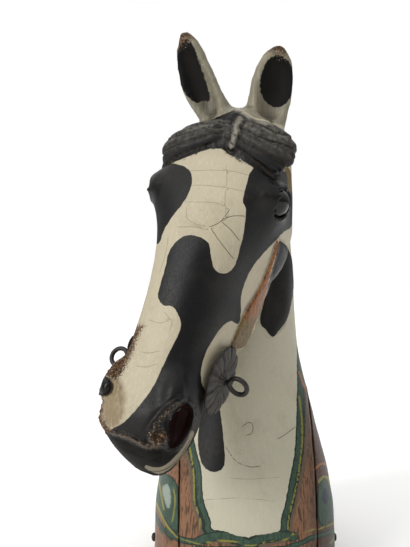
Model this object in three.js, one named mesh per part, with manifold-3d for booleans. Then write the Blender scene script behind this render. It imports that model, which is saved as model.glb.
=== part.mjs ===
// Carousel horse bust: a carved wooden head and neck on a broad chest that is cut flat below.
// Millimetres, +Z up, the horse faces -Y and +X is the viewer's right. The origin is the centre of the underside.
import * as THREE from "three";
import { mergeVertices } from "three/addons/utils/BufferGeometryUtils.js";
import Module from "manifold-3d";

const wasm = await Module();
wasm.setup();

// Driving sizes
const jointGap = 0.3;
const deg = Math.PI / 180;
const sectionPoints = 32;

// The head has its own frame: x to the viewer's right, n out of the face, t from the poll to the muzzle.
const poll = new THREE.Vector3(-17, -178, 612);
const headRoll = 19 * deg;
const headTip = -18.4 * deg;
const headTurn = -26.5 * deg;

const eyeRadius = 18;
const eyeAt = { x: 70, n: -33, t: 116 };
const eyeDomeRadius = 26;
const eyeDomeX = 60;
const nostrilAt = { x: 45, n: -31, t: 372 };
const wingAt = { x: 35, n: -24, t: 348 };
const wingSlant = 0.2;
const rosetteAt = { x: 50, n: -92, t: 310 };
const rosetteRadius = 40;
const rosetteLeaves = 10;
const rosetteThickness = 6;
const leafNotch = 0.07;
const ringRadius = 10.5;
const ringWire = 3;
const shankDepth = 14;
const rosettePitch = -0.08;
// The rosettes lie a little differently, and the ring on the horse's right stands out further.
const bitSides = {
  left: { side: 1, lean: -0.06, reach: 21, twist: 0.9 },
  right: { side: -1, lean: -0.04, reach: 33, twist: 0 },
};

const boardSeam = 88;
const boardTop = 330;
const chestHalfWidth = 127;
const boltRadius = 6;
const boltStandsOut = 3;
const boltAt = { y: -30, z: 34 };

// Helpers

// A smooth value through a short list of [position, value] stations.
function through(stations, at) {
  const last = stations.length - 1;
  if (at <= stations[0][0]) return stations[0][1];
  if (at >= stations[last][0]) return stations[last][1];
  let i = 0;
  while (at > stations[i + 1][0]) i++;
  const [p1, v1] = stations[i];
  const [p2, v2] = stations[i + 1];
  const [p0, v0] = stations[Math.max(i - 1, 0)];
  const [p3, v3] = stations[Math.min(i + 2, last)];
  const slope1 = i > 0 ? (v2 - v0) / (p2 - p0) : (v2 - v1) / (p2 - p1);
  const slope2 = i + 2 <= last ? (v3 - v1) / (p3 - p1) : (v2 - v1) / (p2 - p1);
  const width = p2 - p1;
  const s = (at - p1) / width;
  const s2 = s * s;
  const s3 = s2 * s;
  return (
    (2 * s3 - 3 * s2 + 1) * v1 +
    (s3 - 2 * s2 + s) * width * slope1 +
    (3 * s2 - 2 * s3) * v2 +
    (s3 - s2) * width * slope2
  );
}

function bump(distance, reach) {
  return Math.exp(-(distance * distance) / (reach * reach));
}

function power(value, exponent) {
  return Math.sign(value) * Math.abs(value) ** exponent;
}

// A closed skin over rings of points, with a fan over each end.
function loft(rings) {
  const count = rings[0].length;
  const positions = [];
  const index = [];
  for (const ring of rings) {
    for (const p of ring) positions.push(p.x, p.y, p.z);
  }
  for (let i = 0; i + 1 < rings.length; i++) {
    for (let j = 0; j < count; j++) {
      const a = i * count + j;
      const b = i * count + ((j + 1) % count);
      index.push(a, b, b + count, a, b + count, a + count);
    }
  }
  for (const [ring, start, flip] of [
    [rings[0], 0, true],
    [rings[rings.length - 1], (rings.length - 1) * count, false],
  ]) {
    const middle = new THREE.Vector3();
    for (const p of ring) middle.add(p);
    middle.divideScalar(count);
    const centre = positions.length / 3;
    positions.push(middle.x, middle.y, middle.z);
    for (let j = 0; j < count; j++) {
      const a = start + j;
      const b = start + ((j + 1) % count);
      if (flip) index.push(centre, b, a);
      else index.push(centre, a, b);
    }
  }
  const geometry = new THREE.BufferGeometry();
  geometry.setAttribute("position", new THREE.Float32BufferAttribute(positions, 3));
  geometry.setIndex(index);
  return geometry;
}

function solid(geometry) {
  const bare = geometry.clone();
  bare.deleteAttribute("normal");
  bare.deleteAttribute("uv");
  const merged = mergeVertices(bare, 1e-4);
  const made = new wasm.Manifold(
    new wasm.Mesh({
      numProp: 3,
      vertProperties: merged.attributes.position.array,
      triVerts: new Uint32Array(merged.index.array),
    }),
  );
  if (made.volume() > 0) return made;
  const turned = merged.index.array;
  for (let i = 0; i < turned.length; i += 3) {
    const kept = turned[i];
    turned[i] = turned[i + 1];
    turned[i + 1] = kept;
  }
  return new wasm.Manifold(
    new wasm.Mesh({
      numProp: 3,
      vertProperties: merged.attributes.position.array,
      triVerts: new Uint32Array(turned),
    }),
  );
}

function geometryOf(made) {
  const mesh = made.getMesh();
  const geometry = new THREE.BufferGeometry();
  geometry.setAttribute("position", new THREE.BufferAttribute(mesh.vertProperties, 3));
  geometry.setIndex(new THREE.BufferAttribute(mesh.triVerts, 1));
  return geometry;
}

// The main body of a cut form, without the loose slivers that a cut can leave.
function mainBody(made) {
  return made.decompose().sort((a, b) => b.volume() - a.volume())[0];
}

function boxSolid(low, high) {
  const size = new THREE.Vector3().subVectors(high, low);
  const geometry = new THREE.BoxGeometry(size.x, size.y, size.z);
  geometry.translate(low.x + size.x / 2, low.y + size.y / 2, low.z + size.z / 2);
  return solid(geometry);
}

// A ball stretched along its own axes, then turned and placed.
function ellipsoid(radii, rotation, centre, across = 14, down = 9) {
  const geometry = new THREE.SphereGeometry(1, across, down);
  geometry.scale(radii.x, radii.y, radii.z);
  geometry.applyMatrix4(new THREE.Matrix4().makeRotationFromEuler(rotation));
  geometry.translate(centre.x, centre.y, centre.z);
  return geometry;
}

// Head frame to the object's frame
const headMatrix = new THREE.Matrix4()
  .makeTranslation(poll.x, poll.y, poll.z)
  .multiply(new THREE.Matrix4().makeRotationFromEuler(new THREE.Euler(headTip, headRoll, headTurn, "YXZ")))
  .multiply(
    new THREE.Matrix4().makeBasis(
      new THREE.Vector3(1, 0, 0),
      new THREE.Vector3(0, -1, 0),
      new THREE.Vector3(0, 0, -1),
    ),
  );

function placed(geometry) {
  return geometry.clone().applyMatrix4(headMatrix);
}

function mirrored(geometry) {
  return geometry.clone().applyMatrix4(new THREE.Matrix4().makeScale(-1, 1, 1));
}

// Skull and muzzle: a skin of closed sections from behind the poll to the lips
const headStart = -4;
const headEnd = 426;
const faceLine = [
  [-4, -36], [4, -17], [18, -4], [50, 5], [110, 7], [170, 3], [240, -6],
  [310, -12], [355, -15], [388, -21], [404, -33], [414, -52], [421, -74], [426, -90],
];
const jawLine = [
  [-4, -72], [4, -92], [18, -120], [50, -152], [100, -178], [150, -188], [200, -186],
  [250, -174], [300, -154], [335, -132], [365, -130], [392, -136], [408, -134], [418, -127], [426, -112],
];
const headHalfWidth = [
  [-4, 22], [4, 40], [18, 54], [50, 67], [100, 76], [130, 75], [170, 64], [220, 53],
  [270, 47], [320, 45], [350, 46], [375, 50], [390, 47], [403, 40], [414, 31], [422, 20], [426, 12],
];
const headSections = 30;

function headRing(t) {
  const top = through(faceLine, t);
  const bottom = through(jawLine, t);
  const wide = through(headHalfWidth, t);
  const widest = top - (top - bottom) * (0.42 - 0.06 * bump(t - 124, 70));
  const square = 0.82 + 0.1 * bump(t - 20, 60);
  const ring = [];
  for (let i = 0; i < sectionPoints; i++) {
    const angle = (i / sectionPoints) * 2 * Math.PI;
    const c = Math.cos(angle);
    const s = Math.sin(angle);
    let x = wide * power(c, square);
    let n = widest + (s > 0 ? top - widest : widest - bottom) * power(s, square);
    const side = Math.sign(x);
    const low = Math.max(0, (widest - n) / (widest - bottom));
    // The jaw narrows towards its lower edge, and the head narrows behind the ears.
    x *= 1 - 0.2 * low ** 2 - 0.32 * low * bump(t - 10, 70);
    // The chin is narrower than the upper lip.
    x *= 1 - 0.64 * low * Math.min(1, Math.max(0, (t - 362) / 35));
    const eye = bump(t - eyeAt.t, 27) * bump(n - eyeAt.n - 6, 32);
    const brow = bump(t - (eyeAt.t - 26), 20) * bump(n - (eyeAt.n + 20), 18);
    const jowl = bump(t - 128, 52) * bump(n + 130, 44);
    const hollow = bump(t - 205, 42) * bump(n + 60, 34);
    const nostril = bump(t - 374, 25) * bump(n - nostrilAt.n, 26);
    const chinGroove = bump(t - 345, 22) * bump(n + 112, 20);
    const jawBar = bump(t - 240, 36) * bump(n + 132, 46);
    x += side * (14 * eye + 2 * brow + 6 * jowl + 10 * jawBar - 4 * hollow + 9 * nostril - 5 * chinGroove);
    n += 3 * brow + 4 * nostril;
    ring.push(new THREE.Vector3(x, n, t));
  }
  return ring;
}

const headRings = [];
for (let i = 0; i <= headSections; i++) {
  const share = i / headSections;
  // Sections crowd together at both ends, where the form closes.
  const eased = share - Math.sin(2 * Math.PI * share) * 0.085;
  headRings.push(headRing(headStart + (headEnd - headStart) * eased));
}
let bust = solid(placed(loft(headRings)));

// Neck and chest: level sections from the flat underside up to the crest behind the ears
const neckFront = [
  [0, -141], [70, -144], [130, -139], [190, -126], [250, -108], [310, -88], [370, -70],
  [430, -62], [490, -72], [535, -98], [570, -126], [586, -138],
];
const neckBack = [
  [0, 141], [100, 147], [220, 141], [320, 118], [400, 86], [470, 42], [520, -8], [562, -62], [586, -104],
];
const neckHalfWidth = [
  [0, 127], [80, 126], [121, 121], [155, 113], [185, 105], [244, 91], [304, 78], [380, 75],
  [450, 69], [500, 60], [546, 48], [573, 34], [586, 18],
];
const neckSections = 16;
const neckTop = 586;

function neckRing(z) {
  const front = through(neckFront, z);
  const back = through(neckBack, z);
  const wide = through(neckHalfWidth, z);
  const middle = front + (back - front) * 0.44;
  const ring = [];
  for (let i = 0; i < sectionPoints; i++) {
    const angle = (i / sectionPoints) * 2 * Math.PI;
    const c = Math.cos(angle);
    const s = Math.sin(angle);
    const x = wide * power(c, 0.86);
    let y = middle + (s > 0 ? back - middle : middle - front) * power(s, s > 0 ? 0.8 : 0.92);
    // A soft keel runs down the front of the neck and fades out on the chest.
    const keel = bump(x, 16) * bump(z - 230, 150);
    if (s < 0) y -= 5 * keel;
    ring.push(new THREE.Vector3(x, y, z));
  }
  return ring;
}

const neckRings = [];
for (let i = 0; i <= neckSections; i++) {
  const share = i / neckSections;
  neckRings.push(neckRing(neckTop * Math.sin((share * Math.PI) / 2) ** 1.15));
}
const neck = solid(loft(neckRings));

// Shoulder boards: the outer part of the chest on each side is a board of its own, with a seam in front
const far = 400;
const boards = {};
for (const [name, side] of [["left", 1], ["right", -1]]) {
  const inner = side * (boardSeam + jointGap / 2);
  const slab = boxSolid(
    new THREE.Vector3(Math.min(inner, side * far), -far, -10),
    new THREE.Vector3(Math.max(inner, side * far), far, boardTop),
  );
  boards[name] = neck.intersect(slab);
}
const core = boxSolid(
  new THREE.Vector3(-boardSeam + jointGap / 2, -far, -10),
  new THREE.Vector3(boardSeam - jointGap / 2, far, 900),
);
bust = bust.add(neck.intersect(core));

// Ears: a leaf-shaped shell along its own axis, hollowed from the front
function ear({ base, tip, facing, halfWidth, depth, bow, hollowShift, hollowWidth }) {
  const along = new THREE.Vector3().subVectors(tip, base);
  const length = along.length();
  const up = along.clone().normalize();
  const front = facing.clone().addScaledVector(up, -facing.dot(up)).normalize();
  const across = new THREE.Vector3().crossVectors(up, front);
  const outline = [[0, 0.84], [0.3, 0.95], [0.55, 1], [0.78, 0.84], [0.93, 0.55], [1, 0.2]];
  const rings = [];
  const hollowRings = [];
  const steps = 8;
  const points = 14;
  for (let i = 0; i <= steps; i++) {
    const share = i / steps;
    const wide = halfWidth * through(outline, share);
    const deep = depth * (0.5 + 0.5 * through(outline, share));
    const centre = base.clone().addScaledVector(up, length * share);
    centre.addScaledVector(front, 5 * share * share);
    centre.addScaledVector(across, bow * Math.sin(Math.PI * share));
    const ring = [];
    for (let j = 0; j < points; j++) {
      const angle = (j / points) * 2 * Math.PI;
      ring.push(
        centre
          .clone()
          .addScaledVector(across, wide * Math.cos(angle))
          .addScaledVector(front, deep * Math.sin(angle)),
      );
    }
    rings.push(ring);
  }
  for (let i = 0; i <= steps; i++) {
    const share = i / steps;
    const at = 0.12 + 0.8 * share;
    const open = Math.sqrt(Math.max(0, 1 - (2 * share - 1) ** 2)) + 0.05;
    const centre = base.clone().addScaledVector(up, length * at);
    centre.addScaledVector(front, depth * 1.15).addScaledVector(across, hollowShift);
    const ring = [];
    for (let j = 0; j < points; j++) {
      const angle = (j / points) * 2 * Math.PI;
      ring.push(
        centre
          .clone()
          .addScaledVector(across, halfWidth * hollowWidth * open * Math.cos(angle))
          .addScaledVector(front, depth * 1.35 * open * Math.sin(angle)),
      );
    }
    hollowRings.push(ring);
  }
  return { shell: solid(loft(rings)), hollow: solid(loft(hollowRings)) };
}

const rightEar = ear({
  base: new THREE.Vector3(-27, -158, 573),
  tip: new THREE.Vector3(-78, -172, 688),
  facing: new THREE.Vector3(-0.5, -0.85, 0.1),
  halfWidth: 23,
  depth: 14,
  bow: -9,
  hollowShift: -7,
  hollowWidth: 0.72,
});
const leftEar = ear({
  base: new THREE.Vector3(14, -160, 566),
  tip: new THREE.Vector3(31, -172, 671),
  facing: new THREE.Vector3(0.12, -0.98, 0.1),
  halfWidth: 27,
  depth: 15,
  bow: 0,
  hollowShift: 3,
  hollowWidth: 0.76,
});
bust = bust.add(leftEar.shell).add(rightEar.shell);
bust = bust.subtract(leftEar.hollow).subtract(rightEar.hollow);

// Forelock: two carved locks that part between the ears and sweep out over the brows
function lock({ from, to, startHalf, middleHalf, endHalf }) {
  const steps = 9;
  const points = 12;
  const rings = [];
  for (let i = 0; i <= steps; i++) {
    const share = i / steps;
    const swell = Math.sqrt(Math.max(0.03, 1 - (1.9 * share - 0.95) ** 6));
    const centre = new THREE.Vector3().lerpVectors(from, to, share);
    centre.y = from.y + (to.y - from.y) * share ** 2.2;
    const half = through([[0, startHalf], [0.55, middleHalf], [1, endHalf]], share) * swell;
    const thick = 11 * swell;
    const ring = [];
    for (let j = 0; j < points; j++) {
      const angle = (j / points) * 2 * Math.PI;
      const lift = thick * Math.sin(angle);
      // Towards its end the lock lies over the brow and faces outwards.
      const lean = 0.5 * share * Math.sign(to.x);
      ring.push(new THREE.Vector3(centre.x + lift * lean, centre.y + lift, centre.z + half * Math.cos(angle)));
    }
    rings.push(ring);
  }
  return solid(placed(loft(rings)));
}

bust = bust.add(
  lock({
    from: new THREE.Vector3(6, 6, 55),
    to: new THREE.Vector3(-71, -14, 77),
    startHalf: 17,
    middleHalf: 23,
    endHalf: 22,
  }),
);
bust = bust.add(
  lock({
    from: new THREE.Vector3(8, 6, 57),
    to: new THREE.Vector3(83, -14, 69),
    startHalf: 19,
    middleHalf: 27,
    endHalf: 24,
  }),
);

// Nostrils: a long rounded wing with a slanted hollow in it on each side of the muzzle
const wingShape = ellipsoid(
  new THREE.Vector3(12, 12, 31),
  new THREE.Euler(0, wingSlant, 0),
  new THREE.Vector3(wingAt.x, wingAt.n, wingAt.t),
);
bust = bust.add(solid(placed(wingShape))).add(solid(placed(mirrored(wingShape))));
const nostrilShape = ellipsoid(
  new THREE.Vector3(10, 13, 19),
  new THREE.Euler(-0.25, -0.1, 0.5),
  new THREE.Vector3(nostrilAt.x, nostrilAt.n, nostrilAt.t),
);
bust = bust.subtract(solid(placed(nostrilShape)));
bust = bust.subtract(solid(placed(mirrored(nostrilShape))));

// Mouth: a slit between the lips, open at the front and the sides
const mouthRings = [];
for (let i = 0; i <= 8; i++) {
  const share = i / 8;
  const t = 340 + 110 * share;
  const half = 0.8 + 3.4 * share;
  const n = -92 - 6 * share;
  mouthRings.push([
    new THREE.Vector3(-70, n - half - 6, t),
    new THREE.Vector3(0, n - half, t),
    new THREE.Vector3(70, n - half - 6, t),
    new THREE.Vector3(70, n + half - 6, t),
    new THREE.Vector3(0, n + half, t),
    new THREE.Vector3(-70, n + half - 6, t),
  ]);
}
const mouthCut = solid(placed(loft(mouthRings)));
const mouthKeep = solid(
  placed(
    ellipsoid(new THREE.Vector3(34, 60, 62), new THREE.Euler(0, 0, 0), new THREE.Vector3(0, -95, 350), 20, 14),
  ),
);
bust = bust.subtract(mouthCut.subtract(mouthKeep));

// Eyes: each brow swells into a rounded dome, and a glass ball is let into its outer side
for (const side of [-1, 1]) {
  const dome = ellipsoid(
    new THREE.Vector3(eyeDomeRadius, eyeDomeRadius, eyeDomeRadius),
    new THREE.Euler(0, 0, 0),
    new THREE.Vector3(side * eyeDomeX, eyeAt.n + 3, eyeAt.t),
  );
  bust = bust.add(solid(placed(dome)));
}
function eyeBall(side, radius) {
  return solid(
    placed(
      ellipsoid(
        new THREE.Vector3(radius, radius, radius),
        new THREE.Euler(0, 0, 0),
        new THREE.Vector3(side * eyeAt.x, eyeAt.n, eyeAt.t),
        14,
        9,
      ),
    ),
  );
}
bust = bust.subtract(eyeBall(-1, eyeRadius + jointGap)).subtract(eyeBall(1, eyeRadius + jointGap));

// Bit rosettes: a disc of radial leaves lying on each side of the muzzle
function rosetteGeometry() {
  const points = rosetteLeaves * 4;
  const rings = [];
  for (const [share, lift] of [[1, 0], [1, 0.35], [0.7, 0.85], [0.4, 0.6], [0.26, 1.1]]) {
    const ring = [];
    for (let i = 0; i < points; i++) {
      const angle = (i / points) * 2 * Math.PI;
      const leaf = 1 - leafNotch * share * Math.abs(Math.sin((angle * rosetteLeaves) / 2 + Math.PI / 2)) ** 6;
      const r = rosetteRadius * share * leaf;
      ring.push(new THREE.Vector3(lift * rosetteThickness, r * Math.cos(angle), r * Math.sin(angle)));
    }
    rings.push(ring);
  }
  return loft(rings);
}

// Rein rings: a screw eye through the middle of each rosette
function screwEye(reach, twist) {
  const section = new THREE.Shape();
  section.absarc(0, 0, ringWire, 0, 2 * Math.PI, false);
  const shank = new THREE.ExtrudeGeometry(section, {
    steps: 1,
    curveSegments: 8,
    extrudePath: new THREE.LineCurve3(
      new THREE.Vector3(-shankDepth, 0, 0),
      new THREE.Vector3(reach - ringRadius + 1, 0, 0),
    ),
  });
  const hoop = new THREE.TorusGeometry(ringRadius, ringWire, 8, 18);
  hoop.rotateX(Math.PI / 2 + twist);
  hoop.translate(reach, 0, 0);
  return { shank, hoop };
}

function shankBore() {
  const length = 2 * shankDepth + 12;
  const bore = new THREE.CylinderGeometry(ringWire + jointGap, ringWire + jointGap, length, 12);
  bore.rotateZ(Math.PI / 2);
  bore.translate(length / 2 - shankDepth - jointGap, 0, 0);
  return bore;
}

const bitPieces = {};
for (const [name, { side, lean, reach, twist }] of Object.entries(bitSides)) {
  const turn = new THREE.Matrix4()
    .makeTranslation(rosetteAt.x, rosetteAt.n, rosetteAt.t)
    .multiply(new THREE.Matrix4().makeRotationFromEuler(new THREE.Euler(0, rosettePitch, lean)));
  const onHead = (geometry) => {
    const turned = geometry.applyMatrix4(turn);
    return solid(placed(side > 0 ? turned : mirrored(turned)));
  };
  const bore = onHead(shankBore());
  const { shank, hoop } = screwEye(reach, twist);
  bust = bust.subtract(bore);
  bitPieces[name] = {
    rosette: onHead(rosetteGeometry()).subtract(bore),
    ring: onHead(shank).add(onHead(hoop)),
  };
}

// Bolts: a dome-headed bolt low on the side of each board
function bolt(side, grow) {
  const profile = [
    new THREE.Vector2(0, -26 - grow),
    new THREE.Vector2(3 + grow, -26 - grow),
    new THREE.Vector2(3 + grow, -1 - grow),
    new THREE.Vector2(boltRadius + grow, -1 - grow),
    new THREE.Vector2(boltRadius + grow, 1),
    new THREE.Vector2(boltRadius * 0.7 + grow, boltStandsOut),
    new THREE.Vector2(0, boltStandsOut + 1),
  ];
  const geometry = new THREE.LatheGeometry(profile, 14);
  geometry.rotateZ(-Math.PI / 2);
  geometry.translate(chestHalfWidth - 0.5, boltAt.y, boltAt.z);
  return solid(side > 0 ? geometry : mirrored(geometry));
}
boards.left = boards.left.subtract(bolt(1, jointGap));
boards.right = boards.right.subtract(bolt(-1, jointGap));

// Materials
function paint(color, roughness, metalness = 0) {
  return new THREE.MeshStandardMaterial({ color, roughness, metalness });
}

const part = new THREE.Group();
part.name = "carousel_horse_bust";

function addPiece(name, made, material) {
  const mesh = new THREE.Mesh(made.isBufferGeometry ? made : geometryOf(made), material);
  mesh.name = name;
  part.add(mesh);
}

// The horse's left is the viewer's right.
addPiece("horse_bust", mainBody(bust), paint(0xcfc3a8, 0.55));
addPiece("shoulder_board_left", boards.left, paint(0xb0745a, 0.55));
addPiece("shoulder_board_right", boards.right, paint(0xb0745a, 0.55));
addPiece("eye_left", eyeBall(1, eyeRadius), paint(0x101010, 0.1));
addPiece("eye_right", eyeBall(-1, eyeRadius), paint(0x101010, 0.1));
for (const [name, { rosette, ring }] of Object.entries(bitPieces)) {
  addPiece(`bit_rosette_${name}`, rosette, paint(0x3a3732, 0.45, 0.8));
  addPiece(`rein_ring_${name}`, ring, paint(0x35302b, 0.4, 0.9));
}
addPiece("bolt_left", bolt(1, 0), paint(0x35302b, 0.4, 0.9));
addPiece("bolt_right", bolt(-1, 0), paint(0x35302b, 0.4, 0.9));

export default part;
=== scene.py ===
# Carousel horse bust: the carved and painted wood, its eyes and its bit fittings
import math
import bpy
import numpy as np
from mathutils import Matrix, Vector


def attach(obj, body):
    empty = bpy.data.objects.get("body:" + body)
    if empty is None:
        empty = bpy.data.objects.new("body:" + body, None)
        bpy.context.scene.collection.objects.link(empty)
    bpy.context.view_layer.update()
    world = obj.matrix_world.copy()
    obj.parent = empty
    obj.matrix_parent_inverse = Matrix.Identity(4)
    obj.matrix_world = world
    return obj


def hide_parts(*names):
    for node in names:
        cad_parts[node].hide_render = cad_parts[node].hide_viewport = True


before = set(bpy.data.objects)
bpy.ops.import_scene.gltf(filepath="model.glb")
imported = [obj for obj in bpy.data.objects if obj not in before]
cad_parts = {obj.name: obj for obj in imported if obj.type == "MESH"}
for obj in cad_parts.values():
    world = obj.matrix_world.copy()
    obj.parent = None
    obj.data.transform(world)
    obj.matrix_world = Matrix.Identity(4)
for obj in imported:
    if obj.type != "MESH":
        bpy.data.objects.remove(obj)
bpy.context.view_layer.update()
scene = bpy.context.scene
scene.view_settings.view_transform = "Standard"

# Camera, at the photograph's place
cameraSet = {
    "place": (-0.055, -0.875, 0.405),
    "focalPixels": 600,
    "pictureWidth": 410,
    "pictureHeight": 547,
}
cameraData = bpy.data.cameras.new("camera")
cameraData.sensor_width = 36
cameraData.lens = cameraSet["focalPixels"] / cameraSet["pictureHeight"] * 36
cameraData.clip_start = 0.01
camera = bpy.data.objects.new("camera", cameraData)
camera.location = cameraSet["place"]
camera.rotation_euler = (math.radians(90), 0, 0)
scene.collection.objects.link(camera)
scene.camera = camera
cameraPoint = np.array(cameraSet["place"]) * 1000  # in millimetres, as all points given here

# Head frame, as in the solids: x to the viewer's right, n out of the face, t from poll to muzzle
headSet = {
    "poll": (-17, -178, 612),
    "roll": 19,
    "tip": -18.4,
    "turn": -26.5,
}
turns = [math.radians(headSet[name]) for name in ("roll", "tip", "turn")]
headAxes = (
    Matrix.Rotation(turns[0], 3, "Y") @ Matrix.Rotation(turns[1], 3, "X") @ Matrix.Rotation(turns[2], 3, "Z")
    @ Matrix(((1, 0, 0), (0, -1, 0), (0, 0, -1)))
)
headAxes = np.array(headAxes)
pollPoint = np.array(headSet["poll"], dtype=float)


def toHead(points):
    # object millimetres to head millimetres
    return (points - pollPoint) @ headAxes


def fromHead(points):
    return points @ headAxes.T + pollPoint


def toPicture(points):
    # object millimetres to picture pixels
    away = points - cameraPoint
    u = cameraSet["pictureWidth"] / 2 + cameraSet["focalPixels"] * away[:, 0] / away[:, 1]
    v = cameraSet["pictureHeight"] / 2 - cameraSet["focalPixels"] * away[:, 2] / away[:, 1]
    return np.stack([u, v], axis=1)


def sightLines(points):
    # directions from the camera to each point
    away = points - cameraPoint
    return away / np.linalg.norm(away, axis=1)[:, None]


# Small tools
def linear(hexText):
    parts = [int(hexText[i:i + 2], 16) / 255 for i in (0, 2, 4)]
    return tuple(c / 12.92 if c <= 0.04045 else ((c + 0.055) / 1.055) ** 2.4 for c in parts) + (1.0,)


def addNode(tree, kind, inputs=None, **settings):
    node = tree.nodes.new("ShaderNode" + kind)
    for name, value in settings.items():
        setattr(node, name, value)
    for key, value in (inputs or {}).items():
        if isinstance(value, bpy.types.Node):
            value = next(socket for socket in value.outputs if socket.enabled)
        if isinstance(value, bpy.types.NodeSocket):
            tree.links.new(value, node.inputs[key])
        else:
            node.inputs[key].default_value = value
    return node


def onlySelect(obj):
    bpy.ops.object.select_all(action="DESELECT")
    obj.select_set(True)
    bpy.context.view_layer.objects.active = obj


def remeshedCopy(node, name, voxel):
    # a piece that starts as a CAD node's mesh, merged and cut evenly
    obj = bpy.data.objects.new(name, bpy.data.objects[node].data.copy())
    scene.collection.objects.link(obj)
    obj.data.materials.clear()
    onlySelect(obj)
    bpy.ops.object.mode_set(mode="EDIT")
    bpy.ops.mesh.select_all(action="SELECT")
    bpy.ops.mesh.remove_doubles(threshold=1e-5)
    bpy.ops.object.mode_set(mode="OBJECT")
    remesh = obj.modifiers.new("remesh", "REMESH")
    remesh.mode = "VOXEL"
    remesh.voxel_size = voxel
    bpy.ops.object.modifier_apply(modifier=remesh.name)
    return obj


def vectorsOf(items, name):
    found = np.empty(len(items) * 3)
    items.foreach_get(name, found)
    return found.reshape(-1, 3)


def pointsOf(obj):
    return vectorsOf(obj.data.vertices, "co") * 1000


def normalsOf(obj):
    return vectorsOf(obj.data.vertices, "normal")


def movePoints(obj, points):
    obj.data.vertices.foreach_set("co", (points / 1000).ravel())
    obj.data.update()


def neighbourMean(obj):
    # gives the function that takes each point to the middle of its neighbours
    count = len(obj.data.vertices)
    edges = np.empty(len(obj.data.edges) * 2, dtype=np.int32)
    obj.data.edges.foreach_get("vertices", edges)
    edges = edges.reshape(-1, 2)
    ends = np.concatenate([edges[:, 0], edges[:, 1]])
    others = np.concatenate([edges[:, 1], edges[:, 0]])
    degree = np.bincount(ends, minlength=count)[:, None]

    def mean(points):
        total = [np.bincount(ends, points[others, k], minlength=count) for k in range(3)]
        return np.stack(total, axis=1) / degree

    return mean


relaxSet = {
    "shrink": 0.5,
    "grow": -0.52,
}


def relax(obj, weight, times, kept=None):
    # evens the surface out, more where the weight is more; where kept is 1 small forms don't shrink
    points = pointsOf(obj)
    mean = neighbourMean(obj)
    steps = [weight * relaxSet["shrink"]]
    if kept is not None:
        steps.append(weight * kept * relaxSet["grow"])
    for _ in range(times):
        for step in steps:
            points += (mean(points) - points) * step[:, None]
    movePoints(obj, points)


def smoothFaces(obj):
    onlySelect(obj)
    bpy.ops.object.shade_smooth()


def setAttribute(obj, name, values):
    layer = obj.data.attributes.new(name, "FLOAT", "POINT")
    layer.data.foreach_set("value", values.astype(np.float32))


def smoothLine(points, closed=True):
    # a soft curve through a few given points
    steps = 4
    pts = np.array(points, dtype=float)
    count = len(pts)
    found = []
    for i in range(count if closed else count - 1):
        if closed:
            p = [pts[(i + k) % count] for k in (-1, 0, 1, 2)]
        else:
            p = [pts[min(max(i + k, 0), count - 1)] for k in (-1, 0, 1, 2)]
        for s in np.arange(steps) / steps:
            square = (2 * p[0] - 5 * p[1] + 4 * p[2] - p[3]) * s ** 2
            cube = (3 * p[1] - p[0] - 3 * p[2] + p[3]) * s ** 3
            found.append(0.5 * (2 * p[1] + (p[2] - p[0]) * s + square + cube))
    if not closed:
        found.append(pts[-1])
    return np.array(found)


def lineDistance(at, line):
    # distance to an open line, and the share of the way along it
    best = np.full(len(at), 1e9)
    along = np.zeros(len(at))
    lengths = np.linalg.norm(np.diff(line, axis=0), axis=1)
    total = lengths.sum()
    done = 0.0
    for i, length in enumerate(lengths):
        a, b = line[i], line[i + 1]
        way = b - a
        share = np.clip(((at - a) @ way) / max(way @ way, 1e-9), 0, 1)
        gap = np.linalg.norm(at - a - share[:, None] * way, axis=1)
        nearer = gap < best
        best[nearer] = gap[nearer]
        along[nearer] = (done + share[nearer] * length) / total
        done += length
    return best, along


def lineGap(at, line):
    return lineDistance(at, line)[0]


farOut = -40.0  # the distance of what lies well outside an edge


def insideDistance(at, outline):
    # signed distance to a closed outline, more than nothing inside
    low, high = outline.min(axis=0) + farOut, outline.max(axis=0) - farOut
    near = ((at > low) & (at < high)).all(axis=1)
    found = np.full(len(at), farOut)
    pts = at[near]
    if not len(pts):
        return found
    best = np.full(len(pts), 1e9)
    inside = np.zeros(len(pts), dtype=bool)
    for i in range(len(outline)):
        a, b = outline[i - 1], outline[i]
        way = b - a
        share = np.clip(((pts - a) @ way) / max(way @ way, 1e-9), 0, 1)
        best = np.minimum(best, np.linalg.norm(pts - a - share[:, None] * way, axis=1))
        crosses = (a[1] > pts[:, 1]) != (b[1] > pts[:, 1])
        if crosses.any():
            where = a[0] + (pts[:, 1] - a[1]) / (b[1] - a[1] if b[1] != a[1] else 1e-9) * (b[0] - a[0])
            inside ^= crosses & (pts[:, 0] < where)
    found[near] = np.where(inside, best, -best)
    return found


def bump(distance, reach):
    return np.exp(-(distance / reach) ** 2)


def stationValue(stations, at):
    table = np.array(stations, dtype=float)
    return np.interp(at, table[:, 0], table[:, 1])


# Wood form: the CAD solid, remeshed evenly, with its facets rubbed down
woodSet = {
    "voxel": 0.0042,
    "relaxTimes": 42,
    "eyeAt": (70, -33, 116),
    "domeAt": (60, -30, 116),
    "nostrilAt": (45, -31, 372),
    "muzzleFrom": 338,
}
jawEdge = [
    (0, -110), (50, -152), (100, -178), (150, -188), (200, -186), (250, -174), (300, -154), (335, -134),
    (365, -131), (392, -136), (430, -128),
]
eyeAt = np.array(woodSet["eyeAt"], dtype=float)
nostrilAt = np.array(woodSet["nostrilAt"], dtype=float)
domeAt = np.array(woodSet["domeAt"], dtype=float)
earPlaces = [((-27, -158, 573), (-78, -172, 688), 27), ((14, -160, 566), (31, -172, 671), 29)]
lockPlaces = [
    # start and end in the head's frame, half widths at the start, middle and end
    ((6, 6, 55), (-71, -14, 77), (17, 23, 22)),
    ((8, 6, 57), (83, -14, 69), (19, 27, 24)),
]


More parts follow.
